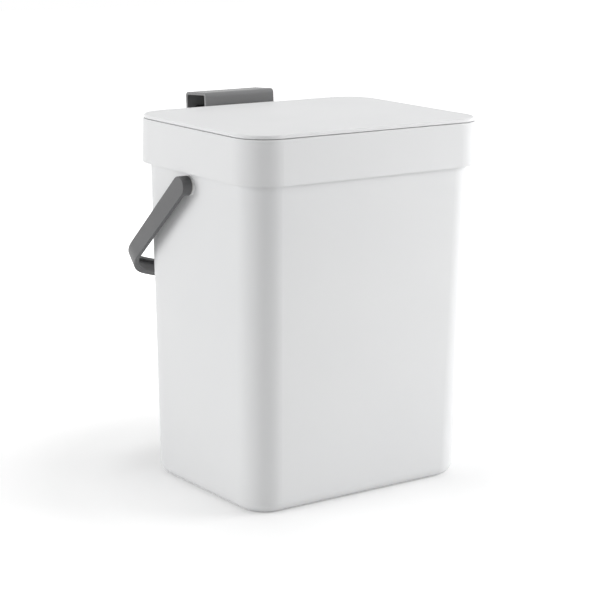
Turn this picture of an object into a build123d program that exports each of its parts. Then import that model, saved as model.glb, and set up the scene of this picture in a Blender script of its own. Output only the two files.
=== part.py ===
from build123d import *
import os
from math import atan2, cos, radians, sin, sqrt, tan

# Small hanging bin for the inside or outside of a cabinet door.
# A tall tapered bin carries a deep collar with a flip lid on its rim.
# A carrying handle swings about the two short walls, and a bent plate hooks over the door.
# X runs along the wide front, +Y points to the door at the rear, +Z is up.
# The origin is the middle of the flat base. Sizes are millimetres and degrees.

# Bin shell
BASE_LENGTH = 181.8
BASE_WIDTH = 137.5
BASE_CORNER = 21.5
BASE_EDGE = 8.0
DRAFT = 1.0
BIN_WALL = 2.0
BIN_FLOOR = 2.6
FLOOR_EDGE = 5.5
FLANGE_THICKNESS = 2.0

# Collar that sits on the rim of the bin
TOTAL_HEIGHT = 260.0
FRAME_SPREAD_LENGTH = 17.0
FRAME_SPREAD_WIDTH = 16.7
FRAME_CORNER = 24.0
FRAME_HEIGHT = 30.5
FRAME_PLATE = 2.4
FRAME_FLARE = 0.6
FRAME_EDGE = 0.8
SKIRT_WALL = 2.0
LIP_HEIGHT = 10.0
LIP_WALL = 1.8
RIB_THICKNESS = 1.4
RIB_BOTTOM_MARGIN = 6.0
RIB_NOTCH_GAP = 0.4

# Flip lid
LID_PLATE = 2.4
LID_GAP = 0.5
LID_INSET = 0.7
LID_EDGE = 1.0
LID_RIM_HEIGHT = 3.0
LID_RIM_WALL = 1.4
LID_RIM_CLEARANCE = 1.4

# Lid hinge at the rear edge
HINGE_SETBACK = 0.5
HINGE_END_MARGIN = 37.4
KNUCKLE_DIAMETER = 5.0
KNUCKLE_LENGTH = 12.0
EAR_LENGTH = 5.0
HINGE_PIN_DIAMETER = 2.5
HINGE_SIDE_GAP = 0.3
HINGE_NOTCH_GAP = 0.5
PIN_PRESS_GAP = 0.02
PIN_TURN_GAP = 0.06

# Soft stops under the lid
BUMPER_DIAMETER = 4.4
BUMPER_SINK = 0.6
BUMPER_STAND = 0.4
BUMPER_FIT = 0.05

# Handle, a strap bent to a U with a bowed grip
PIVOT_Y = 7.0
PIVOT_BELOW_FRAME = 9.4
HANDLE_DROP = 41.5
STRAP_CLEARANCE = 1.2
STRAP_THICKNESS = 2.8
STRAP_WIDTH = 13.8
GRIP_NARROWING = 1.8
GRIP_PAST_HOOK = 12.0
HANDLE_BEND = 30.6
GRIP_RADIUS = 191.0
GRIP_THICKNESS = 4.4
GRIP_WEB = 2.2
GRIP_FLANGE = 1.8
STRAP_EDGE = 0.5

# Pivot of the handle on the short walls
PAD_DIAMETER = 13.6
PAD_STAND = 1.1
WASHER_THICKNESS = 0.8
WASHER_DIAMETER = 13.0
HUB_GAP = 0.1
PIVOT_PIN_DIAMETER = 6.0
PIVOT_HEAD_DIAMETER = 11.0
PIVOT_HEAD_THICKNESS = 1.8
PIVOT_HEAD_GAP = 0.1
PIVOT_SEAT_DIAMETER = 12.5
PIVOT_SEAT_SINK = 0.5
HUB_SKIN = 2.0
PIVOT_PRESS_GAP = 0.02
PIVOT_TURN_GAP = 0.06

# Door hook, one bent plate. It is drawn upright and leans back about its top front edge,
# so that the foot of the hanging bin rests against the door.
HOOK_WIDTH = 59.6
HOOK_PLATE = 2.0
HOOK_STANDOFF = 10.9
HOOK_DEPTH = 27.0
HOOK_RISE = 8.0
HOOK_LEAN = 4.0
HOOK_BEND = 2.0
REAR_LEG_LENGTH = 40.0
FRONT_LEG_LENGTH = 93.0
J_PITCH = 6.2
J_BEND = 2.9
TONGUE_LENGTH = 25.0
TONGUE_WIDTH = 54.0
HOOK_CORNER = 4.0

# Soft pads inside the door hook
HOOK_PAD_THICKNESS = 2.0
HOOK_PAD_WIDTH = 48.0
HOOK_PAD_HEIGHT = 26.0
HOOK_PAD_TOP_MARGIN = 8.0
HOOK_PAD_CORNER = 3.0

# Hanger block moulded on the rear wall
HANGER_WIDTH = 66.0
HANGER_HEIGHT = 43.0
HANGER_CHAMFER = 5.0
LIP_TO_PLATE_GAP = 0.4
LIP_THICKNESS = 3.0
LIP_CHAMFER = 1.0
SEAT_GAP = 0.3
TONGUE_SIDE_GAP = 0.5
TONGUE_TOP_GAP = 3.0

# Clearance between pieces that lift apart
RIM_GAP = 0.3
FLANGE_GAP = 0.35
LIP_GAP = 0.35

# How far a cutting shape runs past the face it cuts
CUT_PAST = 1.0


def wall_half(base, z):
    return base / 2 + z * tan(radians(DRAFT))


# Sizes and heights that follow from the sizes above
FRAME_LENGTH = BASE_LENGTH + FRAME_SPREAD_LENGTH
FRAME_WIDTH = BASE_WIDTH + FRAME_SPREAD_WIDTH
LID_UNDER = TOTAL_HEIGHT - LID_PLATE
FRAME_TOP = LID_UNDER - LID_GAP
FRAME_BOTTOM = FRAME_TOP - FRAME_HEIGHT
PLATE_UNDER = FRAME_TOP - FRAME_PLATE
RIM_TOP = PLATE_UNDER - RIM_GAP
FLANGE_UNDER = RIM_TOP - FLANGE_THICKNESS
LIP_BOTTOM = PLATE_UNDER - LIP_HEIGHT

# Places of the lid hinge
HINGE_CENTRE_X = FRAME_LENGTH / 2 - HINGE_END_MARGIN
HINGE_Y = FRAME_WIDTH / 2 - HINGE_SETBACK
HINGE_Z = FRAME_TOP + LID_GAP / 2
HINGE_HOLE_TURN = HINGE_PIN_DIAMETER / 2 + PIN_TURN_GAP
HINGE_HOLE_PRESS = HINGE_PIN_DIAMETER / 2 + PIN_PRESS_GAP
EAR_START = KNUCKLE_LENGTH / 2 + HINGE_SIDE_GAP
EAR_END = EAR_START + EAR_LENGTH

# Places along the handle's pivot, from the wall outwards
PIVOT_Z = FRAME_BOTTOM - PIVOT_BELOW_FRAME
PIVOT_SEAT_X = wall_half(BASE_LENGTH, PIVOT_Z) - BIN_WALL + PIVOT_SEAT_SINK
PIVOT_ROOT_X = PIVOT_SEAT_X - PAD_DIAMETER / 2
PAD_FACE_X = wall_half(BASE_LENGTH, PIVOT_Z) + PAD_STAND
WASHER_FACE_X = PAD_FACE_X + WASHER_THICKNESS
HUB_FACE_X = WASHER_FACE_X + HUB_GAP
STRAP_OUTER_X = FRAME_LENGTH / 2 + FRAME_FLARE + STRAP_CLEARANCE + STRAP_THICKNESS
PIVOT_PIN_TIP_X = STRAP_OUTER_X - HUB_SKIN
PIVOT_HEAD_X = PIVOT_SEAT_X - PIVOT_HEAD_GAP

# Places of the door hook, its lower end and the hanger
HOOK_FRONT_Y = FRAME_WIDTH / 2 + HOOK_STANDOFF
HOOK_TOP = TOTAL_HEIGHT + HOOK_RISE
HANDLE_REACH = HOOK_FRONT_Y + HOOK_DEPTH + GRIP_PAST_HOOK
J_BOTTOM = HOOK_TOP - FRONT_LEG_LENGTH
HANGER_TOP = J_BOTTOM + HANGER_HEIGHT
LIP_BACK_Y = HOOK_FRONT_Y - LIP_TO_PLATE_GAP
SLOT_BACK_Y = LIP_BACK_Y - LIP_THICKNESS
TONGUE_Y = HOOK_FRONT_Y + HOOK_PLATE / 2 - J_PITCH
SLOT_FRONT_Y = TONGUE_Y - HOOK_PLATE / 2 - TONGUE_SIDE_GAP
TROUGH_Z = J_BOTTOM + HOOK_PLATE
HANGER_BOTTOM = TROUGH_Z + SEAT_GAP
TONGUE_TOP = J_BOTTOM + TONGUE_LENGTH
SLOT_TOP = TONGUE_TOP + TONGUE_TOP_GAP


def outline(half_x, half_y, corner, z):
    return Pos(0, 0, z) * RectangleRounded(2 * half_x, 2 * half_y, corner)


def block(x0, x1, y0, y1, z0, z1):
    middle = Pos((x0 + x1) / 2, (y0 + y1) / 2, (z0 + z1) / 2)
    return middle * Box(abs(x1 - x0), y1 - y0, z1 - z0)


def rod_x(radius, x0, x1, y, z):
    return Pos((x0 + x1) / 2, y, z) * Rot(0, 90, 0) * Cylinder(radius, abs(x1 - x0))


def bin_outline(z, inset=0.0):
    half_x = wall_half(BASE_LENGTH, z) - inset
    half_y = wall_half(BASE_WIDTH, z) - inset
    return outline(half_x, half_y, BASE_CORNER - inset, z)


def frame_outline(z, inset=0.0):
    spread = FRAME_FLARE * (FRAME_TOP - z) / FRAME_HEIGHT - inset
    return outline(FRAME_LENGTH / 2 + spread, FRAME_WIDTH / 2 + spread, FRAME_CORNER + spread, z)


def bottom_edges(solid):
    return solid.faces().sort_by(Axis.Z)[0].edges()


def top_edges(solid):
    return solid.faces().sort_by(Axis.Z)[-1].edges()


def lean_back(upright):
    return Pos(0, HOOK_FRONT_Y, HOOK_TOP) * Rot(-HOOK_LEAN, 0, 0) * Pos(0, -HOOK_FRONT_Y, -HOOK_TOP) * upright


# Ribs inside the collar keep it centred. The bin's flange has a notch for each, so that the collar lifts off.

def rib_bars(half, low, high):
    skirt_y = FRAME_WIDTH / 2 - SKIRT_WALL / 2
    skirt_x = FRAME_LENGTH / 2 - SKIRT_WALL / 2
    wall_y = wall_half(BASE_WIDTH, RIM_TOP) + LIP_GAP
    wall_x = wall_half(BASE_LENGTH, RIM_TOP) + LIP_GAP
    bars = []
    for x in (-FRAME_LENGTH / 4, FRAME_LENGTH / 4):
        bars.append(block(x - half, x + half, -skirt_y, -wall_y, low, high))
        bars.append(block(x - half, x + half, wall_y, skirt_y, low, high))
    for y in (-FRAME_WIDTH / 4, FRAME_WIDTH / 4):
        bars.append(block(-skirt_x, -wall_x, y - half, y + half, low, high))
        bars.append(block(wall_x, skirt_x, y - half, y + half, low, high))
    return bars


# Bin body

def hanger_block():
    root_y = BASE_WIDTH / 2 - BIN_WALL
    half = HANGER_WIDTH / 2
    solid = block(-half, half, root_y, LIP_BACK_Y, HANGER_BOTTOM, HANGER_TOP)
    rear_top = solid.edges().filter_by(Axis.X).group_by(Axis.Z)[-1].sort_by(Axis.Y)[-1]
    solid = chamfer(rear_top, HANGER_CHAMFER)
    rear_low = solid.edges().filter_by(Axis.X).group_by(Axis.Z)[0].sort_by(Axis.Y)[-1]
    solid = chamfer(rear_low, LIP_CHAMFER)
    slot_half = TONGUE_WIDTH / 2 + TONGUE_SIDE_GAP
    solid -= block(-slot_half, slot_half, SLOT_FRONT_Y, SLOT_BACK_Y, HANGER_BOTTOM - CUT_PAST, SLOT_TOP)
    lip_edges = solid.edges().filter_by(Axis.X).group_by(Axis.Z)[0].filter_by(
        lambda e: abs(e.center().Y - SLOT_BACK_Y) < 0.01)
    return chamfer(lip_edges, LIP_CHAMFER)


def make_bin_body():
    solid = loft([bin_outline(0), bin_outline(RIM_TOP)], ruled=True)
    solid = fillet(bottom_edges(solid), BASE_EDGE)
    reach = SKIRT_WALL + FLANGE_GAP
    flange = extrude(frame_outline(FLANGE_UNDER, reach), FLANGE_THICKNESS)
    flange -= rib_bars(RIB_THICKNESS / 2 + RIB_NOTCH_GAP, FLANGE_UNDER - CUT_PAST, RIM_TOP + CUT_PAST)
    pads = [rod_x(PAD_DIAMETER / 2, side * PIVOT_ROOT_X, side * PAD_FACE_X, PIVOT_Y, PIVOT_Z) for side in (-1, 1)]
    solid = solid + flange + pads + lean_back(hanger_block())
    room = loft([bin_outline(BIN_FLOOR, BIN_WALL), bin_outline(RIM_TOP + CUT_PAST, BIN_WALL)], ruled=True)
    room = fillet(bottom_edges(room), FLOOR_EDGE)
    solid = solid - room
    for side in (-1, 1):
        bore = PIVOT_PIN_DIAMETER / 2 + PIVOT_TURN_GAP
        solid -= rod_x(bore, side * PIVOT_ROOT_X, side * (PAD_FACE_X + CUT_PAST), PIVOT_Y, PIVOT_Z)
        solid -= rod_x(PIVOT_SEAT_DIAMETER / 2, side * PIVOT_ROOT_X, side * PIVOT_SEAT_X, PIVOT_Y, PIVOT_Z)
    return solid


# Collar with its locating lip, ribs and hinge ears

def lip_outline(z, inset=0.0):
    gap = BIN_WALL + LIP_GAP + inset
    half_x = wall_half(BASE_LENGTH, LIP_BOTTOM) - gap
    half_y = wall_half(BASE_WIDTH, LIP_BOTTOM) - gap
    return outline(half_x, half_y, BASE_CORNER - gap, z)


def hinge_ears(centre):
    radius = KNUCKLE_DIAMETER / 2
    ears = []
    for start, end in ((-EAR_END, -EAR_START), (EAR_START, EAR_END)):
        ears.append(rod_x(radius, centre + start, centre + end, HINGE_Y, HINGE_Z))
        ears.append(block(centre + start, centre + end, HINGE_Y - radius, HINGE_Y + radius / 2,
                          PLATE_UNDER, HINGE_Z))
    return ears


def bumper_places():
    centre_x = FRAME_LENGTH / 2 - FRAME_CORNER
    centre_y = FRAME_WIDTH / 2 - FRAME_CORNER
    lip_edge = wall_half(BASE_LENGTH, LIP_BOTTOM) - BIN_WALL - LIP_GAP - LIP_WALL
    ring = FRAME_LENGTH / 2 - lip_edge
    reach = (FRAME_CORNER - ring / 2) * sqrt(0.5)
    return [(sx * (centre_x + reach), sy * (centre_y + reach)) for sx in (-1, 1) for sy in (-1, 1)]


def make_lid_frame():
    solid = loft([frame_outline(FRAME_BOTTOM), frame_outline(FRAME_TOP)], ruled=True)
    solid = fillet(top_edges(solid), FRAME_EDGE)
    hollow = loft([frame_outline(FRAME_BOTTOM - CUT_PAST, SKIRT_WALL), frame_outline(PLATE_UNDER, SKIRT_WALL)],
                  ruled=True)
    solid = solid - hollow
    solid += extrude(lip_outline(LIP_BOTTOM), LIP_HEIGHT + FRAME_PLATE / 2)
    solid += rib_bars(RIB_THICKNESS / 2, FRAME_BOTTOM + RIB_BOTTOM_MARGIN, FLANGE_UNDER - CUT_PAST)
    solid -= extrude(lip_outline(LIP_BOTTOM - CUT_PAST, LIP_WALL), FRAME_TOP - LIP_BOTTOM + 2 * CUT_PAST)
    notch = KNUCKLE_DIAMETER / 2 + HINGE_NOTCH_GAP
    for centre in (-HINGE_CENTRE_X, HINGE_CENTRE_X):
        half = KNUCKLE_LENGTH / 2 + HINGE_SIDE_GAP
        solid += hinge_ears(centre)
        solid -= block(centre - half, centre + half, HINGE_Y - notch, HINGE_Y + 2 * notch,
                       PLATE_UNDER - CUT_PAST, TOTAL_HEIGHT)
        solid -= rod_x(HINGE_HOLE_PRESS, centre - EAR_END - CUT_PAST, centre + EAR_END + CUT_PAST, HINGE_Y, HINGE_Z)
    for x, y in bumper_places():
        recess = Cylinder(BUMPER_DIAMETER / 2 + BUMPER_FIT, BUMPER_SINK, align=(Align.CENTER, Align.CENTER, Align.MAX))
        solid -= Pos(x, y, FRAME_TOP) * recess
    return solid


# Flip lid

def make_flip_lid():
    half_x = FRAME_LENGTH / 2 - LID_INSET
    half_y = FRAME_WIDTH / 2 - LID_INSET
    plate = extrude(outline(half_x, half_y, FRAME_CORNER - LID_INSET, LID_UNDER), LID_PLATE)
    plate = fillet(top_edges(plate), LID_EDGE)
    rim_low = LID_UNDER - LID_RIM_HEIGHT
    outer = LIP_WALL + LID_RIM_CLEARANCE
    rim = extrude(lip_outline(rim_low, outer), LID_RIM_HEIGHT + LID_PLATE / 2)
    rim -= extrude(lip_outline(rim_low - CUT_PAST, outer + LID_RIM_WALL), LID_RIM_HEIGHT + CUT_PAST)
    solid = plate + rim
    radius = KNUCKLE_DIAMETER / 2
    notch = radius + HINGE_NOTCH_GAP
    for centre in (-HINGE_CENTRE_X, HINGE_CENTRE_X):
        half = EAR_END + HINGE_SIDE_GAP
        solid -= block(centre - half, centre + half, HINGE_Y - notch, HINGE_Y + 2 * notch,
                       HINGE_Z - notch, TOTAL_HEIGHT + CUT_PAST)
        solid += rod_x(radius, centre - KNUCKLE_LENGTH / 2, centre + KNUCKLE_LENGTH / 2, HINGE_Y, HINGE_Z)
        solid += block(centre - KNUCKLE_LENGTH / 2, centre + KNUCKLE_LENGTH / 2, HINGE_Y - notch - LID_EDGE, HINGE_Y,
                       LID_UNDER, HINGE_Z + radius)
        solid -= rod_x(HINGE_HOLE_TURN, centre - EAR_END, centre + EAR_END, HINGE_Y, HINGE_Z)
    return solid


def make_hinge_pin(centre):
    pin = rod_x(HINGE_PIN_DIAMETER / 2, centre - EAR_END, centre + EAR_END, HINGE_Y, HINGE_Z)
    return chamfer(pin.edges().filter_by(GeomType.CIRCLE), HINGE_PIN_DIAMETER / 8)


def make_bumper(x, y):
    height = BUMPER_SINK + BUMPER_STAND
    disc = Cylinder(BUMPER_DIAMETER / 2, height, align=(Align.CENTER, Align.CENTER, Align.MIN))
    disc = fillet(disc.edges().group_by(Axis.Z)[-1], BUMPER_DIAMETER / 10)
    return Pos(x, y, FRAME_TOP - BUMPER_SINK) * disc


# Handle, drawn flat with its arms along +Y from the pivot and laid to its rest angle at the end

def knee_reach(half, bend, grip):
    return HANDLE_REACH - GRIP_RADIUS + sqrt((grip - bend) ** 2 - (half - bend) ** 2)


def strap_outline(half, bend, grip):
    centre = HANDLE_REACH - GRIP_RADIUS
    knee = knee_reach(half, bend, grip)
    turn = atan2(knee - centre, half - bend)
    touch = Vector(grip * cos(turn), centre + grip * sin(turn))
    middle = Vector(half - bend + bend * cos(turn / 2), knee + bend * sin(turn / 2))
    low = -STRAP_WIDTH
    edges = [
        Line((-half, low), (-half, knee)),
        ThreePointArc((-half, knee), (-middle.X, middle.Y), (-touch.X, touch.Y)),
        ThreePointArc((-touch.X, touch.Y), (0, centre + grip), touch),
        ThreePointArc(touch, middle, (half, knee)),
        Line((half, knee), (half, low)),
        Line((half, low), (-half, low)),
    ]
    return make_face(edges)


def strap_side_view():
    half = STRAP_WIDTH / 2
    far = HANDLE_REACH + CUT_PAST
    strip = Polyline((0, -half), (far, -half), (far, half - GRIP_NARROWING), (0, half), close=True)
    view = make_face(strip) + Circle(half)
    side = Plane(origin=(0, 0, 0), x_dir=(0, 1, 0), z_dir=(1, 0, 0))
    return extrude(side * view, STRAP_OUTER_X + CUT_PAST, both=True)


def make_handle():
    outer = strap_outline(STRAP_OUTER_X, HANDLE_BEND, GRIP_RADIUS)
    inner_bend = HANDLE_BEND - STRAP_THICKNESS
    inner = strap_outline(STRAP_OUTER_X - STRAP_THICKNESS, inner_bend, GRIP_RADIUS - GRIP_THICKNESS)
    web = strap_outline(STRAP_OUTER_X - GRIP_WEB, HANDLE_BEND - GRIP_WEB, GRIP_RADIUS - GRIP_WEB)
    plate = extrude(outer, STRAP_WIDTH, both=True) & strap_side_view()
    rims = plate.edges() - plate.edges().filter_by(Axis.X) - plate.edges().filter_by(Axis.Z)
    strap = fillet(rims, STRAP_EDGE) - extrude(inner, STRAP_WIDTH, both=True)
    channel_top = STRAP_WIDTH / 2 - GRIP_NARROWING - GRIP_FLANGE
    channel_low = -STRAP_WIDTH / 2 + GRIP_FLANGE
    channel_start = knee_reach(STRAP_OUTER_X, HANDLE_BEND, GRIP_RADIUS) + HANDLE_BEND / 4
    beyond = Pos(0, channel_start) * Rectangle(
        2 * STRAP_OUTER_X, 2 * HANDLE_REACH, align=(Align.CENTER, Align.MIN))
    channel = extrude(Pos(0, 0, channel_low) * (web & beyond), channel_top - channel_low)
    strap = strap - channel
    for side in (-1, 1):
        strap += rod_x(STRAP_WIDTH / 2, side * HUB_FACE_X, side * (STRAP_OUTER_X - STRAP_THICKNESS / 2), 0, 0)
        strap -= rod_x(PIVOT_PIN_DIAMETER / 2 + PIVOT_PRESS_GAP, side * (HUB_FACE_X - CUT_PAST), side * PIVOT_PIN_TIP_X, 0, 0)
    return Pos(0, PIVOT_Y, PIVOT_Z) * Rot(-HANDLE_DROP, 0, 0) * strap


def make_pivot_pin(side):
    head = rod_x(PIVOT_HEAD_DIAMETER / 2, side * (PIVOT_HEAD_X - PIVOT_HEAD_THICKNESS), side * PIVOT_HEAD_X,
                 PIVOT_Y, PIVOT_Z)
    rim = head.edges().filter_by(GeomType.CIRCLE).sort_by(Axis.X, reverse=side < 0)[0]
    head = fillet(rim, PIVOT_HEAD_THICKNESS / 2)
    tip = PIVOT_PIN_TIP_X - PIVOT_PRESS_GAP
    return head + rod_x(PIVOT_PIN_DIAMETER / 2, side * (PIVOT_HEAD_X - PIVOT_HEAD_THICKNESS / 2), side * tip,
                        PIVOT_Y, PIVOT_Z)


def make_washer(side):
    ring = rod_x(WASHER_DIAMETER / 2, side * PAD_FACE_X, side * WASHER_FACE_X, PIVOT_Y, PIVOT_Z)
    hole = PIVOT_PIN_DIAMETER / 2 + PIVOT_TURN_GAP
    return ring - rod_x(hole, side * (PAD_FACE_X - CUT_PAST), side * (WASHER_FACE_X + CUT_PAST), PIVOT_Y, PIVOT_Z)


# Door hook

def make_door_hook():
    front = HOOK_FRONT_Y + HOOK_PLATE / 2
    rear = HOOK_FRONT_Y + HOOK_DEPTH - HOOK_PLATE / 2
    top = HOOK_TOP - HOOK_PLATE / 2
    low = J_BOTTOM + HOOK_PLATE / 2
    leg_end = HOOK_TOP - REAR_LEG_LENGTH
    path = FilletPolyline(
        (0, TONGUE_Y, TONGUE_TOP), (0, TONGUE_Y, low), (0, front, low),
        (0, front, top), (0, rear, top), (0, rear, leg_end),
        radius=[J_BEND, J_BEND, HOOK_BEND, HOOK_BEND])
    start = Plane(origin=(0, TONGUE_Y, TONGUE_TOP), x_dir=(1, 0, 0), z_dir=(0, 0, -1))
    plate = sweep(start * Rectangle(HOOK_WIDTH, HOOK_PLATE), path)
    split = (TONGUE_Y + front) / 2
    for side in (-1, 1):
        plate -= block(side * TONGUE_WIDTH / 2, side * (HOOK_WIDTH / 2 + CUT_PAST), TONGUE_Y - HOOK_PLATE, split,
                       J_BOTTOM - CUT_PAST, TONGUE_TOP + CUT_PAST)
    ends = [e for e in plate.edges().filter_by(Axis.Y)
            if abs(e.center().Z - leg_end) < 0.01 or abs(e.center().Z - TONGUE_TOP) < 0.01]
    return lean_back(fillet(ends, HOOK_CORNER))


def make_hook_pad(near_y, far_y):
    high = HOOK_TOP - HOOK_PLATE - HOOK_PAD_TOP_MARGIN
    middle = Pos(0, far_y, high - HOOK_PAD_HEIGHT / 2) * Rot(90, 0, 0)
    pad = extrude(RectangleRounded(HOOK_PAD_WIDTH, HOOK_PAD_HEIGHT, HOOK_PAD_CORNER), far_y - near_y)
    return lean_back(middle * pad)


# Every piece by name

pieces = {
    "bin_body": make_bin_body(),
    "lid_frame": make_lid_frame(),
    "flip_lid": make_flip_lid(),
    "hinge_pin_left": make_hinge_pin(-HINGE_CENTRE_X),
    "hinge_pin_right": make_hinge_pin(HINGE_CENTRE_X),
    "handle": make_handle(),
    "pivot_pin_left": make_pivot_pin(-1),
    "pivot_pin_right": make_pivot_pin(1),
    "pivot_washer_left": make_washer(-1),
    "pivot_washer_right": make_washer(1),
    "door_hook": make_door_hook(),
}
for number, place in enumerate(bumper_places(), 1):
    pieces[f"lid_bumper_{number}"] = make_bumper(*place)
pad_front = HOOK_FRONT_Y + HOOK_PLATE
pad_rear = HOOK_FRONT_Y + HOOK_DEPTH - HOOK_PLATE
pieces["hook_pad_front"] = make_hook_pad(pad_front, pad_front + HOOK_PAD_THICKNESS)
pieces["hook_pad_rear"] = make_hook_pad(pad_rear - HOOK_PAD_THICKNESS, pad_rear)

os.makedirs("parts", exist_ok=True)
for name, piece in pieces.items():
    export_step(piece, f"parts/{name}.step")
    print(name, round(piece.volume, 1), "mm3")
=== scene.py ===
# %% [markdown]
# # A hanging bin with a flip lid, photographed on white
# The solid parts come ready made as a fixed frame: bin, collar, lid, handle, door hook and the small
# pieces between them. This file dresses them. It makes the moulded rubber and foam details that solids
# show too plainly, gives every piece a finish, and sets up a bright, soft studio round them.
# Lengths are metres. +X is the wide front's right, +Y the door behind the bin, +Z up.

# %% Load the frame and remember its box
import bmesh
import bpy
import math
from mathutils import Matrix, Vector


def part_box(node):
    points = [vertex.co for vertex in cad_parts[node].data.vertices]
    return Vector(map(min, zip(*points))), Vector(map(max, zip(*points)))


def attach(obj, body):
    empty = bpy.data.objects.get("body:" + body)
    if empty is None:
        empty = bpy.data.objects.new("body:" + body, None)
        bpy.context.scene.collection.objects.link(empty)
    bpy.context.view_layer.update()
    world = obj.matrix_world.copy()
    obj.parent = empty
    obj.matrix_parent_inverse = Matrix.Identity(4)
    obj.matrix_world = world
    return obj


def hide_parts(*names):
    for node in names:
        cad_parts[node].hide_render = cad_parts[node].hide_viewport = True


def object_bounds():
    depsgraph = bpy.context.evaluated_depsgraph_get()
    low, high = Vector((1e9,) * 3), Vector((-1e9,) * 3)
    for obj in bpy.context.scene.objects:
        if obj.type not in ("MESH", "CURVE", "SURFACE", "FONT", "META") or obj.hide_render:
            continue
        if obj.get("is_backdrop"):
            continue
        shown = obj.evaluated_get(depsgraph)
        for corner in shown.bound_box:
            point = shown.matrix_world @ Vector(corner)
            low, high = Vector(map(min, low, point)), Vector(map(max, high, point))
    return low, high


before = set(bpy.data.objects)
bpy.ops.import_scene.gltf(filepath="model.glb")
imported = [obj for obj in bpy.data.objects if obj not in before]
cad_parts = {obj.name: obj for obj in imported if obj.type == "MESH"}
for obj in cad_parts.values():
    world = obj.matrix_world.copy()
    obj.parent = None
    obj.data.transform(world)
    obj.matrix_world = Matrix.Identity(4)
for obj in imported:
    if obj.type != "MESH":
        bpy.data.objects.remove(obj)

scene = bpy.context.scene
cad_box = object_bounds()
print("box, mm:", [[round(v * 1000, 1) for v in corner] for corner in cad_box])

# %% [markdown]
# ## The camera
# The photograph was taken with a long lens from the front left, a little above the lid: a long lens
# keeps the bin's sides nearly parallel. The camera is built from its viewing angle (azimuth round the
# bin, elevation above the horizon), its distance and a small roll, because these are what can be read
# from the edges of a box-shaped object. The lens shift places the picture's centre.

# %% Camera
VIEW_AZIMUTH = -36.626
VIEW_ELEVATION = 12.796
VIEW_ROLL = 0.682
VIEW_DISTANCE = 1.37099
VIEW_TARGET = Vector((0.013875, -0.019414, 0.128037))
SENSOR_MM = 36.0
LENS_MM = 115.787
SHIFT_ACROSS = -0.0663
SHIFT_UP = 0.0020


def place_in_scene(name, data):
    thing = bpy.data.objects.new(name, data)
    scene.collection.objects.link(thing)
    return thing


def camera_axes(azimuth, elevation, roll):
    a, e, t = (math.radians(v) for v in (azimuth, elevation, roll))
    back = Vector((math.sin(a) * math.cos(e), -math.cos(a) * math.cos(e), math.sin(e)))
    right = Vector((math.cos(a), math.sin(a), 0.0))
    up = back.cross(right)
    rolled_right = right * math.cos(t) + up * math.sin(t)
    rolled_up = up * math.cos(t) - right * math.sin(t)
    return rolled_right, rolled_up, back


view_right, view_up, view_back = camera_axes(VIEW_AZIMUTH, VIEW_ELEVATION, VIEW_ROLL)
camera_data = bpy.data.cameras.new("studio_camera")
camera_data.sensor_width = SENSOR_MM
camera_data.lens = LENS_MM
camera_data.shift_x = SHIFT_ACROSS
camera_data.shift_y = SHIFT_UP
camera = place_in_scene("studio_camera", camera_data)
turn = Matrix((view_right, view_up, view_back)).transposed()
camera.matrix_world = Matrix.LocRotScale(VIEW_TARGET + view_back * VIEW_DISTANCE, turn, None)
scene.camera = camera
print("camera at", [round(v, 3) for v in camera.location], "lens", LENS_MM)

# %% [markdown]
# ## Helpers for building materials
# A material is a small graph of nodes. Writing the graph by hand gets long, so a few helpers add a node
# with its values, start a material and start a node group. The x and y that they take only lay the graph
# out in the editor. A number that is the same all over a surface is set on the shader's own socket; only
# what changes from place to place comes through nodes.

# %% Node helpers


def add_node(tree, kind, x=0, y=0, **values):
    node = tree.nodes.new(kind)
    node.location = (x, y)
    for name, value in values.items():
        setattr(node, name, value)
    return node


def new_material(name, roughness, specular=0.5, metallic=0.0, sheen=0.0):
    material = bpy.data.materials.new(name)
    material.use_nodes = True
    shader = material.node_tree.nodes["Principled BSDF"]
    shader.inputs["Roughness"].default_value = roughness
    shader.inputs["Specular IOR Level"].default_value = specular
    shader.inputs["Metallic"].default_value = metallic
    shader.inputs["Sheen Weight"].default_value = sheen
    return material, shader


def group_with(name, inputs, outputs):
    tree = bpy.data.node_groups.new(name, "ShaderNodeTree")
    for label, default in inputs:
        kind = "NodeSocketColor" if isinstance(default, tuple) else "NodeSocketFloat"
        socket = tree.interface.new_socket(name=label, in_out="INPUT", socket_type=kind)
        socket.default_value = default
    for label, kind in outputs:
        tree.interface.new_socket(name=label, in_out="OUTPUT", socket_type=kind)
    return tree, add_node(tree, "NodeGroupInput", -900), add_node(tree, "NodeGroupOutput", 700)


print("helpers: add_node, new_material, group_with")

# %% [markdown]
# ## Texture and maths nodes
# Four nodes do nearly all the work of a finish: a noise, a range that turns its values into useful ones,
# a sum or product, and a mix of two colours. Each helper takes sockets or plain numbers alike, so a
# finish reads like a formula. A noise rarely leaves the middle of its scale, so a range starts and ends
# there unless it is told otherwise.

# %% Texture and maths helpers
NOISE_LOW, NOISE_HIGH = 0.3, 0.7
MIX_FIRST, MIX_SECOND, MIX_RESULT = 6, 7, 2  # the colour sockets among all those of a Mix node


def feed(tree, socket, source):
    if hasattr(source, "is_output"):
        tree.links.new(source, socket)
    else:
        socket.default_value = source


def noise(tree, vector, size, detail, x, y):
    node = add_node(tree, "ShaderNodeTexNoise", x, y)
    node.inputs["Detail"].default_value = detail
    node.inputs["Scale"].default_value = 1.0 / size
    tree.links.new(vector, node.inputs["Vector"])
    return node.outputs["Fac"]


def ranged(tree, value, low, high, x, y, start=NOISE_LOW, end=NOISE_HIGH):
    node = add_node(tree, "ShaderNodeMapRange", x, y, clamp=True)
    for name, source in (("From Min", start), ("From Max", end), ("To Min", low), ("To Max", high)):
        feed(tree, node.inputs[name], source)
    tree.links.new(value, node.inputs["Value"])
    return node.outputs["Result"]


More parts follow.
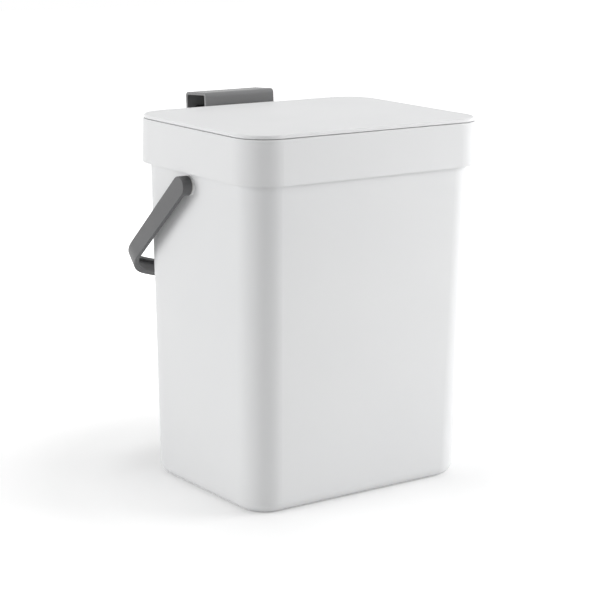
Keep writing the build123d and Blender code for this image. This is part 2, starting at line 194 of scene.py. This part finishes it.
def combine(tree, operation, a, b, x, y):
    node = add_node(tree, "ShaderNodeMath", x, y, operation=operation)
    feed(tree, node.inputs[0], a)
    feed(tree, node.inputs[1], b)
    return node.outputs["Value"]


def mix_colour(tree, factor, a, b, x, y):
    node = add_node(tree, "ShaderNodeMix", x, y, data_type="RGBA")
    tree.links.new(factor, node.inputs["Factor"])
    feed(tree, node.inputs[MIX_FIRST], a)
    feed(tree, node.inputs[MIX_SECOND], b)
    return node.outputs[MIX_RESULT]


print("helpers: feed, noise, ranged, combine, mix_colour")

# %% [markdown]
# ## One effect for every moulded plastic
# Moulded plastic is never one flat colour. It has slow drifts of tone where it flowed and cooled, a fine
# skin copied from the tool, and faint smudges where hands touch it, which change the gloss more than the
# colour. Several pieces share this, so it is one node group with named inputs. It puts out a colour, a
# roughness and a height for a Bump node. It reads object coordinates, so the pattern stays on the piece.

# %% Group: moulded skin
DRIFT_SIZE = 0.11
SMUDGE_SIZE = 0.035
SMUDGE_START, SMUDGE_END = 0.38, 0.72
RIPPLE_SIZE = 0.006
GRAIN_SIZE = 0.0009


def build_moulded_skin():
    tree, source, sink = group_with(
        "moulded_skin",
        [("Light tone", (0.8, 0.8, 0.8, 1.0)), ("Dark tone", (0.7, 0.7, 0.7, 1.0)),
         ("Smooth", 0.3), ("Dull", 0.4), ("Grain", 0.5), ("Ripple", 0.2)],
        [("Color", "NodeSocketColor"), ("Roughness", "NodeSocketFloat"), ("Height", "NodeSocketFloat")])
    given = source.outputs
    place = add_node(tree, "ShaderNodeTexCoord", -900, -300).outputs["Object"]
    drift = noise(tree, place, DRIFT_SIZE, 2.0, -600, 200)
    smudge = noise(tree, place, SMUDGE_SIZE, 4.0, -600, 0)
    ripple = noise(tree, place, RIPPLE_SIZE, 1.0, -600, -200)
    grain = noise(tree, place, GRAIN_SIZE, 3.0, -600, -400)
    tone = ranged(tree, drift, 0.0, 1.0, -300, 200)
    colour = mix_colour(tree, tone, given["Light tone"], given["Dark tone"], 0, 200)
    gloss = ranged(tree, smudge, given["Smooth"], given["Dull"], -300, 0, SMUDGE_START, SMUDGE_END)
    fine = combine(tree, "MULTIPLY", grain, given["Grain"], -300, -400)
    slow = combine(tree, "MULTIPLY", ripple, given["Ripple"], -300, -200)
    height = combine(tree, "ADD", fine, slow, 0, -300)
    tree.links.new(colour, sink.inputs["Color"])
    tree.links.new(gloss, sink.inputs["Roughness"])
    tree.links.new(height, sink.inputs["Height"])
    return tree


moulded_skin = build_moulded_skin()
print("group", moulded_skin.name, "with", len(moulded_skin.nodes), "nodes")

# %% [markdown]
# ## Dust and scuffs as a second group
# Painted metal and handled plastic pick up dust and small scuffs in patches. An image could hold them,
# but it would have to be painted and would repeat. So the mask here is made from two textures that meet:
# the broad patches of a noise, broken up by the fine cells of a Voronoi texture. It is kept faint, as on
# a new product.

# %% Group: faint specks
SPECKS_PER_METRE = 900.0


def build_faint_specks():
    tree, source, sink = group_with(
        "faint_specks", [("Patch size", 0.02), ("Amount", 0.3)],
        [("Mask", "NodeSocketFloat")])
    place = add_node(tree, "ShaderNodeTexCoord", -900, -300).outputs["Object"]
    inverse = combine(tree, "DIVIDE", 1.0, source.outputs["Patch size"], -700, 100)
    patch = add_node(tree, "ShaderNodeTexNoise", -500, 100)
    patch.inputs["Detail"].default_value = 3.0
    tree.links.new(place, patch.inputs["Vector"])
    tree.links.new(inverse, patch.inputs["Scale"])
    speck = add_node(tree, "ShaderNodeTexVoronoi", -500, -200)
    speck.inputs["Scale"].default_value = SPECKS_PER_METRE
    tree.links.new(place, speck.inputs["Vector"])
    broad = ranged(tree, patch.outputs["Fac"], 0.0, 1.0, -200, 100, start=0.5, end=0.75)
    small = ranged(tree, speck.outputs["Distance"], 1.0, 0.0, -200, -200, start=0.05, end=0.35)
    both = combine(tree, "MULTIPLY", broad, small, 100, 0)
    mask = combine(tree, "MULTIPLY", both, source.outputs["Amount"], 300, 0)
    tree.links.new(mask, sink.inputs["Mask"])
    return tree


faint_specks = build_faint_specks()
print("group", faint_specks.name, "with", len(faint_specks.nodes), "nodes")

# %% [markdown]
# ## From a group to a finish
# Each finish places the same group with its own tones and gloss, then a Bump node turns the height into
# small changes of the surface's direction. Bump costs no geometry and is right for a skin this fine.
# Where a finish has specks, they are a paler tone of its own colour.

# %% Plastic finish from the group
DUST_PATCH = 0.03
DUST_LIGHTER = 1.6


def opaque(colour):
    return (*colour, 1.0)


def place_group(material, tree, x, y, **values):
    node = add_node(material.node_tree, "ShaderNodeGroup", x, y, node_tree=tree)
    for name, value in values.items():
        node.inputs[name.replace("_", " ")].default_value = value
    return node


def bump_into(material, shader, height, distance):
    bump = add_node(material.node_tree, "ShaderNodeBump", -250, -250)
    bump.inputs["Distance"].default_value = distance
    material.node_tree.links.new(height, bump.inputs["Height"])
    material.node_tree.links.new(bump.outputs["Normal"], shader.inputs["Normal"])


def moulded_plastic(name, light, dark, smooth, dull, grain, ripple, depth, specular=0.5, specks=0.0):
    material, shader = new_material(name, smooth, specular)
    tree = material.node_tree
    skin = place_group(material, moulded_skin, -800, 0, Light_tone=opaque(light), Dark_tone=opaque(dark),
                       Smooth=smooth, Dull=dull, Grain=grain, Ripple=ripple)
    colour = skin.outputs["Color"]
    if specks:
        dust = place_group(material, faint_specks, -800, -400, Patch_size=DUST_PATCH, Amount=specks)
        pale = opaque(min(1.0, v * DUST_LIGHTER) for v in light)
        colour = mix_colour(tree, dust.outputs["Mask"], colour, pale, -450, 100)
    tree.links.new(colour, shader.inputs["Base Color"])
    tree.links.new(skin.outputs["Roughness"], shader.inputs["Roughness"])
    bump_into(material, shader, skin.outputs["Height"], depth)
    return material


print("helpers: opaque, place_group, bump_into, moulded_plastic")

# %% [markdown]
# ## White polypropylene for bin, collar and lid
# The bin is polypropylene, a slightly waxy white with a satin gloss. The collar shares the bin's skin and
# the lid is a touch glossier, because its tool is polished. The whites are kept under 0.9, since no
# plastic returns all of the light, and the three differ a little, as parts from three tools do.

# %% White plastics
bin_white = moulded_plastic(
    "bin_white_plastic", light=(0.820, 0.825, 0.828), dark=(0.800, 0.806, 0.812),
    smooth=0.50, dull=0.58, grain=0.25, ripple=0.3, depth=0.00003, specular=0.12)
collar_white = moulded_plastic(
    "collar_white_plastic", light=(0.826, 0.830, 0.833), dark=(0.806, 0.811, 0.817),
    smooth=0.48, dull=0.56, grain=0.25, ripple=0.3, depth=0.00003, specular=0.12)
lid_white = moulded_plastic(
    "lid_white_plastic", light=(0.842, 0.846, 0.850), dark=(0.825, 0.830, 0.836),
    smooth=0.40, dull=0.48, grain=0.20, ripple=0.2, depth=0.00002, specular=0.25)
for material in (bin_white, collar_white, lid_white):
    print(material.name, "nodes:", len(material.node_tree.nodes))

# %% [markdown]
# ## Grey plastic for the handle, grey paint for the door hook
# The handle is a dark grey plastic with a spark-eroded grain, so it hardly shines. Its pins are the same
# plastic with a smoother skin. The hook is a bent steel plate with a satin coat of a lighter grey:
# smoother again, with a soft orange-peel ripple.

# %% Grey finishes
handle_grey = moulded_plastic(
    "handle_grey_plastic", light=(0.122, 0.123, 0.125), dark=(0.112, 0.113, 0.115),
    smooth=0.46, dull=0.56, grain=1.0, ripple=0.3, depth=0.00006, specular=0.4, specks=0.10)
hook_grey = moulded_plastic(
    "hook_grey_paint", light=(0.212, 0.213, 0.215), dark=(0.198, 0.199, 0.201),
    smooth=0.36, dull=0.46, grain=0.5, ripple=1.0, depth=0.00005, specular=0.5, specks=0.08)
pivot_grey = moulded_plastic(
    "pivot_grey_plastic", light=(0.122, 0.123, 0.125), dark=(0.112, 0.113, 0.115),
    smooth=0.40, dull=0.50, grain=0.7, ripple=0.4, depth=0.00005, specular=0.4)
print("greys:", handle_grey.name, hook_grey.name, pivot_grey.name)

# %% [markdown]
# ## Drawn steel for the hinge pins
# The hinge pins are drawn steel wire. The drawing leaves hair lines along the pin, which a plain noise
# gives once it is stretched along X, the pins' own direction. A Mapping node does that with few
# repeats per metre along the pin and many across it.

# %% Drawn steel
HAIRS_ALONG, HAIRS_ACROSS = 60.0, 4000.0


def drawn_steel(name):
    material, shader = new_material(name, 0.25, metallic=1.0)
    tree = material.node_tree
    place = add_node(tree, "ShaderNodeTexCoord", -1100, 0)
    stretch = add_node(tree, "ShaderNodeMapping", -900, 0)
    stretch.inputs["Scale"].default_value = (HAIRS_ALONG, HAIRS_ACROSS, HAIRS_ACROSS)
    tree.links.new(place.outputs["Object"], stretch.inputs["Vector"])
    lines = noise(tree, stretch.outputs["Vector"], 1.0, 4.0, -700, 0)
    tone = ranged(tree, lines, 0.0, 1.0, -450, 100)
    colour = mix_colour(tree, tone, opaque((0.60, 0.61, 0.63)), opaque((0.48, 0.49, 0.51)), -250, 150)
    tree.links.new(colour, shader.inputs["Base Color"])
    tree.links.new(ranged(tree, lines, 0.2, 0.42, -450, -100), shader.inputs["Roughness"])
    bump_into(material, shader, lines, 0.00001)
    return material


pin_steel = drawn_steel("hinge_pin_steel")
print("pins:", pin_steel.name)

# %% [markdown]
# ## Nylon washers, rubber stops and foam pads
# The washers are milky nylon, which the moulded skin suits as it is. Stops and hook pads are soft rubber
# and foam. These scatter light and never look wet, so they are rough, with the open pores of a Voronoi
# texture and a cloud of tone that is several pores wide.

# %% Nylon, rubber and foam
PORES_PER_CLOUD = 9


def soft_rubber(name, light, dark, pore, depth):
    material, shader = new_material(name, 0.8, specular=0.25, sheen=0.15)
    tree = material.node_tree
    place = add_node(tree, "ShaderNodeTexCoord", -1100, 0).outputs["Object"]
    pores = add_node(tree, "ShaderNodeTexVoronoi", -700, -100)
    pores.inputs["Scale"].default_value = 1.0 / pore
    tree.links.new(place, pores.inputs["Vector"])
    cloud = noise(tree, place, pore * PORES_PER_CLOUD, 3.0, -700, 200)
    tone = ranged(tree, cloud, 0.0, 1.0, -450, 200)
    colour = mix_colour(tree, tone, opaque(light), opaque(dark), -250, 200)
    tree.links.new(colour, shader.inputs["Base Color"])
    tree.links.new(ranged(tree, cloud, 0.7, 0.88, -450, 0), shader.inputs["Roughness"])
    bump_into(material, shader, pores.outputs["Distance"], depth)
    return material


washer_nylon = moulded_plastic(
    "washer_nylon", light=(0.72, 0.72, 0.69), dark=(0.66, 0.66, 0.63),
    smooth=0.38, dull=0.5, grain=0.4, ripple=0.3, depth=0.00003)
bumper_rubber = soft_rubber(
    "lid_stop_rubber", light=(0.62, 0.62, 0.60), dark=(0.54, 0.54, 0.52), pore=0.0006, depth=0.00003)
pad_foam = soft_rubber(
    "hook_pad_foam", light=(0.030, 0.030, 0.032), dark=(0.022, 0.022, 0.024), pore=0.0008, depth=0.0001)
print("small finishes:", washer_nylon.name, bumper_rubber.name, pad_foam.name)

# %% [markdown]
# ## Dress the solid nodes
# A node keeps its own mesh; only what is in its material slot changes. A table from node to finish is
# easier to check than a long run of assignments.

# %% Materials onto nodes
finishes = {
    "bin_body": bin_white,
    "lid_frame": collar_white,
    "flip_lid": lid_white,
    "handle": handle_grey,
    "door_hook": hook_grey,
    "hinge_pin_left": pin_steel,
    "hinge_pin_right": pin_steel,
    "pivot_pin_left": pivot_grey,
    "pivot_pin_right": pivot_grey,
    "pivot_washer_left": washer_nylon,
    "pivot_washer_right": washer_nylon,
    "hook_pad_front": pad_foam,
    "hook_pad_rear": pad_foam,
}
finishes.update({f"lid_bumper_{n}": bumper_rubber for n in range(1, 5)})
for name, material in finishes.items():
    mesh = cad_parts[name].data
    mesh.materials.clear()
    mesh.materials.append(material)
print("dressed", len(finishes), "of", len(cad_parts), "nodes")

# %% [markdown]
# ## Geometry Nodes: a tree built in the script
# Pieces that repeat are made by a node tree: one shape placed many times by a rule. The tree has named
# inputs for its sizes, and it ends by making the copies real and giving them their material, because an
# exported model can't hold copies that exist only as a recipe.

# %% Geometry Nodes helpers


def new_geometry_tree(name, sizes):
    tree = bpy.data.node_groups.new(name, "GeometryNodeTree")
    tree.interface.new_socket(name="Geometry", in_out="INPUT", socket_type="NodeSocketGeometry")
    keys = {}
    for label, default in sizes:
        kind = "NodeSocketInt" if isinstance(default, int) else "NodeSocketFloat"
        socket = tree.interface.new_socket(name=label, in_out="INPUT", socket_type=kind)
        socket.default_value = default
        keys[label] = socket.identifier
    tree.interface.new_socket(name="Geometry", in_out="OUTPUT", socket_type="NodeSocketGeometry")
    return tree, add_node(tree, "NodeGroupInput", -900), add_node(tree, "NodeGroupOutput", 900), keys


def finish_tree(tree, geometry, material, sink):
    real = add_node(tree, "GeometryNodeRealizeInstances", 400)
    paint = add_node(tree, "GeometryNodeSetMaterial", 600)
    paint.inputs["Material"].default_value = material
    tree.links.new(geometry, real.inputs["Geometry"])
    tree.links.new(real.outputs["Geometry"], paint.inputs["Geometry"])
    tree.links.new(paint.outputs["Geometry"], sink.inputs["Geometry"])


def bake_to_mesh(base, tree, keys, values, name, place=None):
    modifier = base.modifiers.new("rule", "NODES")
    modifier.node_group = tree
    for label, value in values.items():
        modifier[keys[label]] = value
    graph = bpy.context.evaluated_depsgraph_get()
    mesh = bpy.data.meshes.new_from_object(base.evaluated_get(graph), depsgraph=graph)
    bpy.data.objects.remove(base)
    mesh.transform(place or Matrix.Identity(4))
    mesh.name = name
    return place_in_scene(name, mesh)


def mesh_from(shape, name):
    bmesh.ops.recalc_face_normals(shape, faces=shape.faces)
    mesh = bpy.data.meshes.new(name)
    shape.to_mesh(mesh)
    shape.free()
    return mesh


print("helpers: new_geometry_tree, finish_tree, bake_to_mesh, mesh_from")

# %% [markdown]
# ## One rubber stop
# Four soft domes stand in the collar's top and keep the lid from clacking. A dome could be half a sphere,
# but a moulded stop has a flat top and a foot that widens a little. So it is turned: a profile, given as
# shares of the radius and of the height, goes round in even steps.

# %% A turned dome
DOME_STEPS = 40
DOME_PROFILE = [(0.0, 1.0), (0.35, 1.0), (0.66, 0.97), (0.84, 0.88), (0.95, 0.70),
                (0.985, 0.5), (1.0, 0.35), (1.0, 0.0), (0.0, 0.0)]


def turned_dome(radius, height, name):
    shape = bmesh.new()
    rings = []
    for share, rise in DOME_PROFILE:
        reach, z = radius * share, height * rise
        turns = [2 * math.pi * k / DOME_STEPS for k in range(DOME_STEPS if share else 1)]
        rings.append([shape.verts.new((reach * math.cos(t), reach * math.sin(t), z)) for t in turns])
    for upper, lower in zip(rings, rings[1:]):
        for k in range(DOME_STEPS):
            a, b = upper[k % len(upper)], upper[(k + 1) % len(upper)]
            c, d = lower[(k + 1) % len(lower)], lower[k % len(lower)]
            corners = (a, d, c, b)
            shape.faces.new([v for i, v in enumerate(corners) if v not in corners[:i]])
    mesh = mesh_from(shape, name)
    mesh.shade_smooth()
    return mesh


def centre_and_size(node):
    low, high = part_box(node)
    return (low + high) / 2, high - low


stop_places = [centre_and_size(f"lid_bumper_{n}") for n in range(1, 5)]
stop_size = stop_places[0][1]
dome_mesh = turned_dome(stop_size.x / 2, stop_size.z, "stop_dome")
dome = bpy.data.objects.new("stop_dome", dome_mesh)
print("dome, mm:", [round(v * 1000, 2) for v in stop_size], "faces:", len(dome_mesh.polygons))

# %% [markdown]
# ## Four stops on the collar
# The tree sets the dome on four points. The points are read from the plain stops in the frame, so that
# the domes stay in their recesses. The four make one mesh, which rides on the collar.

# %% Domed stops
stops_tree, stops_in, stops_out, stops_keys = new_geometry_tree("place_stops", [("Scale", 1.0)])
dome_info = add_node(stops_tree, "GeometryNodeObjectInfo", -600, -200)
dome_info.inputs["Object"].default_value = dome
put = add_node(stops_tree, "GeometryNodeInstanceOnPoints", 0)
stops_tree.links.new(stops_in.outputs["Geometry"], put.inputs["Points"])
stops_tree.links.new(dome_info.outputs["Geometry"], put.inputs["Instance"])
stops_tree.links.new(stops_in.outputs["Scale"], put.inputs["Scale"])
finish_tree(stops_tree, put.outputs["Instances"], bumper_rubber, stops_out)

foot_mesh = bpy.data.meshes.new("stop_feet")
foot_mesh.from_pydata([(c.x, c.y, c.z - s.z / 2) for c, s in stop_places], [], [])
feet = place_in_scene("stop_feet", foot_mesh)
lid_stops = bake_to_mesh(feet, stops_tree, stops_keys, {"Scale": 1.0}, "lid_stops")
bpy.data.objects.remove(dome)
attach(lid_stops, "frame")
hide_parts(*[f"lid_bumper_{n}" for n in range(1, 5)])
print("stops:", len(stop_places), "domes,", len(lid_stops.data.polygons), "faces")

# %% [markdown]
# ## The plate of a hook pad
# A pad lines each side of the hook, so that it doesn't scratch the door. The real thing is a strip of
# dark foam rubber with fine ribs across it. Its body is a plate with round corners and soft edges. A
# scaled cube with a bevel would round all its edges alike, so the outline is walked corner by corner,
# and only the rim that faces the door is bevelled.

# %% Pad plate
CORNER_STEPS = 8
EDGE_STEPS = 3
ON_PLANE = 1e-9


def rounded_plate(width, height, thickness, corner, edge, name):
    shape = bmesh.new()
    loop = []
    for cx, cz, start in ((1, 1, 0), (-1, 1, 90), (-1, -1, 180), (1, -1, 270)):
        for k in range(CORNER_STEPS + 1):
            t = math.radians(start + k * 90 / CORNER_STEPS)
            loop.append((cx * (width / 2 - corner) + corner * math.cos(t),
                         cz * (height / 2 - corner) + corner * math.sin(t)))
    front = [shape.verts.new((x, 0.0, z)) for x, z in loop]
    back = [shape.verts.new((x, thickness, z)) for x, z in loop]
    shape.faces.new(front)
    shape.faces.new(back[::-1])
    for k in range(len(loop)):
        j = (k + 1) % len(loop)
        shape.faces.new((front[k], back[k], back[j], front[j]))
    rim = [e for e in shape.edges if all(abs(v.co.y) < ON_PLANE for v in e.verts)]
    bmesh.ops.bevel(shape, geom=rim, offset=edge, segments=EDGE_STEPS, profile=0.5, affect="EDGES")
    return place_in_scene(name, mesh_from(shape, name))


print("a plate's outline has", 4 * (CORNER_STEPS + 1), "points")

# %% [markdown]
# ## Ribs up the pad
# The ribs are one round bar, sunk half into the plate and repeated at an even pitch. The tree counts
# them out on a line of points, moves the line down by half its length so that it is centred, lays the
# bar across it and joins the plate to the ribs. A change of count or pitch then needs no other number.

# %% Ribs up the pad
RIB_COUNT = 9
RIB_PITCH = 0.0026
RIB_LENGTH = 0.042
RIB_RADIUS = 0.0005
RIB_SIDES = 16


def build_rib_rows(material):
    tree, source, sink, keys = new_geometry_tree("rib_rows", [
        ("Count", RIB_COUNT), ("Pitch", RIB_PITCH), ("Length", RIB_LENGTH), ("Radius", RIB_RADIUS)])
    given, link = source.outputs, tree.links.new
    offset = add_node(tree, "ShaderNodeCombineXYZ", -700, -300)
    link(given["Pitch"], offset.inputs["Z"])
    row = add_node(tree, "GeometryNodeMeshLine", -450, -200)
    link(given["Count"], row.inputs["Count"])
    link(offset.outputs["Vector"], row.inputs["Offset"])
    gaps = combine(tree, "SUBTRACT", given["Count"], 1.0, -700, -500)
    span = combine(tree, "MULTIPLY", gaps, given["Pitch"], -550, -500)
    lift = add_node(tree, "ShaderNodeCombineXYZ", -250, -500)
    link(combine(tree, "MULTIPLY", span, -0.5, -400, -500), lift.inputs["Z"])
    link(given["Radius"], lift.inputs["Y"])
    centred = add_node(tree, "GeometryNodeSetPosition", -250, -200)
    link(row.outputs["Mesh"], centred.inputs["Geometry"])
    link(lift.outputs["Vector"], centred.inputs["Offset"])
    bar = add_node(tree, "GeometryNodeMeshCylinder", -450, 200)
    bar.inputs["Vertices"].default_value = RIB_SIDES
    link(given["Radius"], bar.inputs["Radius"])
    link(given["Length"], bar.inputs["Depth"])
    across = add_node(tree, "GeometryNodeTransform", -200, 200)
    across.inputs["Rotation"].default_value = (0.0, math.pi / 2, 0.0)
    link(bar.outputs["Mesh"], across.inputs["Geometry"])
    ribs = add_node(tree, "GeometryNodeInstanceOnPoints", 0)
    link(centred.outputs["Geometry"], ribs.inputs["Points"])
    link(across.outputs["Geometry"], ribs.inputs["Instance"])
    join = add_node(tree, "GeometryNodeJoinGeometry", 200)
    link(ribs.outputs["Instances"], join.inputs["Geometry"])
    link(given["Geometry"], join.inputs["Geometry"])
    finish_tree(tree, join.outputs["Geometry"], material, sink)
    return tree, keys


ribs_tree, ribs_keys = build_rib_rows(pad_foam)
print("rib tree inputs:", list(ribs_keys))

# %% [markdown]
# ## Pads in place
# The pads lean with the hook. A finished piece's object stays unturned at the origin, so each pad is made
# upright, and then turned and moved in its mesh. The front pad faces back to the door and the rear pad
# faces forward to it, so one of the two is turned half round first.

# %% Pads in place
HOOK_LEAN = math.radians(4.0)
PAD_WIDTH = 0.048
PAD_HEIGHT = 0.026
PAD_THICKNESS = 0.002
PAD_CORNER = 0.003
PAD_EDGE = 0.0003


def hook_pad(node, facing):
    centre, _ = centre_and_size(node)
    name = node.replace("hook_pad", "ribbed_pad")
    plate = rounded_plate(PAD_WIDTH, PAD_HEIGHT, PAD_THICKNESS - RIB_RADIUS, PAD_CORNER, PAD_EDGE,
                          name + "_plate")
    plate.data.transform(Matrix.Translation((0.0, RIB_RADIUS, 0.0)))
    middle = Matrix.Translation((0.0, -PAD_THICKNESS / 2, 0.0))
    turned = Matrix.Rotation(math.pi if facing > 0 else 0.0, 4, "Z")
    lean = Matrix.Rotation(-HOOK_LEAN, 4, "X")
    place = Matrix.Translation(centre) @ lean @ turned @ middle
    values = {"Count": RIB_COUNT, "Radius": RIB_RADIUS}
    piece = bake_to_mesh(plate, ribs_tree, ribs_keys, values, name, place)
    piece.data.shade_flat()
    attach(piece, "hook")
    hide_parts(node)
    return piece


for pad in (hook_pad("hook_pad_front", 1), hook_pad("hook_pad_rear", -1)):
    print(pad.name, len(pad.data.polygons), "faces")

# %% [markdown]
# ## Floor and backdrop
# The picture is an object on seamless white with a faint shadow. A floor lit by the lamps would never be
# quite white everywhere, so its material looks at the kind of ray: for the camera, for glossy reflections
# and through glass it also glows. The glow is weak near the bin, which keeps the bin's soft shadow, and
# grows with the distance until the floor is white.

# %% Floor
FLOOR_HALF = 4.0
FLOOR_COLOUR = (0.90, 0.90, 0.90)
GLOW_NEAR, GLOW_FAR = 0.20, 1.0
GLOW_STARTS, GLOW_ENDS = 0.18, 0.55


def ray_is_seen(tree, x, y):
    path = add_node(tree, "ShaderNodeLightPath", x, y).outputs
    first = combine(tree, "MAXIMUM", path["Is Camera Ray"], path["Is Glossy Ray"], x + 200, y)
    return combine(tree, "MAXIMUM", first, path["Is Transmission Ray"], x + 400, y)


def white_floor():
    material = bpy.data.materials.new("studio_floor")
    material.use_nodes = True
    tree = material.node_tree
    tree.nodes.clear()
    out = add_node(tree, "ShaderNodeOutputMaterial", 700)
    matt = add_node(tree, "ShaderNodeBsdfDiffuse", 200, 100)
    matt.inputs["Color"].default_value = opaque(FLOOR_COLOUR)
    glow = add_node(tree, "ShaderNodeEmission", 200, -100)
    place = add_node(tree, "ShaderNodeTexCoord", -900, -500)
    away = add_node(tree, "ShaderNodeVectorMath", -700, -500, operation="LENGTH")
    tree.links.new(place.outputs["Object"], away.inputs[0])
    lift = ranged(tree, away.outputs["Value"], GLOW_NEAR, GLOW_FAR, -450, -500, GLOW_STARTS, GLOW_ENDS)
    strength = combine(tree, "MULTIPLY", ray_is_seen(tree, -600, -200), lift, 0, -200)
    tree.links.new(strength, glow.inputs["Strength"])
    both = add_node(tree, "ShaderNodeAddShader", 450)
    tree.links.new(matt.outputs["BSDF"], both.inputs[0])
    tree.links.new(glow.outputs["Emission"], both.inputs[1])
    tree.links.new(both.outputs["Shader"], out.inputs["Surface"])
    return material


floor_corners = ((-1, -1), (1, -1), (1, 1), (-1, 1))
floor_mesh = bpy.data.meshes.new("floor")
floor_mesh.from_pydata([(x * FLOOR_HALF, y * FLOOR_HALF, 0.0) for x, y in floor_corners], [], [(0, 1, 2, 3)])
floor_mesh.materials.append(white_floor())
floor = place_in_scene("floor", floor_mesh)
floor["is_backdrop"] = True
print("floor half size", FLOOR_HALF, "m")

# %% [markdown]
# ## World
# The world is the white behind the floor's edge. For the camera, for glossy reflections and through
# glass it is full white. For all other rays it is a third as strong, as a plain, even light from all
# sides that keeps the shadows soft.

# %% World
WORLD_LIGHT = 0.33
WORLD_SEEN = 1.0

scene.view_settings.view_transform = "Standard"
world = bpy.data.worlds.new("studio_world")
scene.world = world
world.use_nodes = True
sky = world.node_tree
sky_shader = sky.nodes["Background"]
sky_shader.inputs["Color"].default_value = opaque((1.0, 1.0, 1.0))
brightness = ranged(sky, ray_is_seen(sky, -900, 0), WORLD_LIGHT, WORLD_SEEN, -250, 0, start=0.0, end=1.0)
sky.links.new(brightness, sky_shader.inputs["Strength"])
print("world:", WORLD_LIGHT, "as light,", WORLD_SEEN, "where it is seen")

# %% [markdown]
# ## Lamps
# A large soft box stands at the left, a little behind the bin, and another at the right, a little in
# front, so that the short side and the wide front are evenly bright and the rounded corner between them,
# which faces neither, turns a shade darker. A third, overhead, lights the lid and the handle's upper
# edge. Large lamps give the soft shadow of the picture. Camera and glossy rays don't see the lamps.
# Otherwise a box mirrored in the lid, seen low from behind, burns the lid out to plain white.

# %% Lamps
LAMPS_AIM = Vector((0.0, 0.0, 0.13))
LAMPS = [  # name, place, width and height, watts
    ("left_box", (-1.63, 0.65, 0.50), (1.4, 0.8), 14.5),
    ("right_box", (1.10, -0.64, 0.42), (0.9, 0.75), 13.0),
    ("top_box", (0.0, 0.05, 1.85), (0.6, 0.6), 9.5),
]


def soft_box(name, place, size, watts):
    light = bpy.data.lights.new(name, "AREA")
    light.shape = "RECTANGLE"
    light.size, light.size_y = size
    light.energy = watts
    lamp = place_in_scene(name, light)
    lamp.location = place
    lamp.rotation_euler = (LAMPS_AIM - Vector(place)).to_track_quat("-Z", "Y").to_euler()
    lamp.visible_camera = False
    lamp.visible_glossy = False
    return lamp


for lamp in [soft_box(*values) for values in LAMPS]:
    print(lamp.name, lamp.data.energy, "W")

# %% [markdown]
# ## Compare the sizes and finish
# The dressed object must fill the same box as the solid frame. Both boxes are measured, and the script
# prints how far each of their sides lies apart.

# %% Sizes and the last line
visual_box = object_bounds()
pairs = [(a, b) for c, v in zip(cad_box, visual_box) for a, b in zip(c, v)]
print("grown by, mm:", [round(abs(a - b) * 1000, 2) for a, b in pairs])
